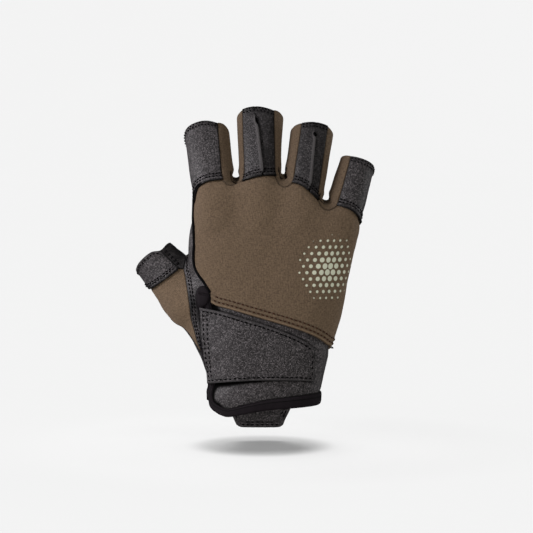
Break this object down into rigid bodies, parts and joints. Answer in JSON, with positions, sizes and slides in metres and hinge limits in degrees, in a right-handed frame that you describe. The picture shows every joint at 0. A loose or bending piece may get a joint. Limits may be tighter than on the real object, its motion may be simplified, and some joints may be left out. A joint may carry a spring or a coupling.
{
  "type": "weightlifting glove",
  "caption": "Half-finger glove for the right hand, with a leather palm, a stretch back, a wrist strap and a pull tab, in the form it has when worn.",
  "frame": {"origin": "middle of the wrist opening, where the hand goes in; the glove is held up there as a wrist holds it", "axes": "+Z from the wrist to the fingertips, -Y out of the back of the hand, +X towards the little finger"},
  "size_m": [0.1424, 0.0498, 0.1919],
  "materials": {
    "leather": "matt black synthetic leather with a fine pebble grain",
    "smooth_leather": "smooth matt black synthetic leather",
    "jersey": "brown ribbed stretch jersey",
    "binding": "dark folded binding tape"
  },
  "bodies": {
    "root": {"back_panel": "jersey", "fourchette_index_middle": "jersey", "fourchette_middle_ring": "jersey", "fourchette_ring_little": "jersey", "thumb_back": "jersey", "palm_leather": "leather", "middle_panel_left": "leather", "middle_panel_right": "smooth_leather", "ring_panel_left": "leather", "ring_panel_right": "smooth_leather", "cuff_back": "leather", "wrist_strap": "leather", "pull_tab": "leather", "thumb_band": "leather", "thumb_palm": "smooth_leather", "cuff_binding": "binding"}
  },
  "joints": []
}
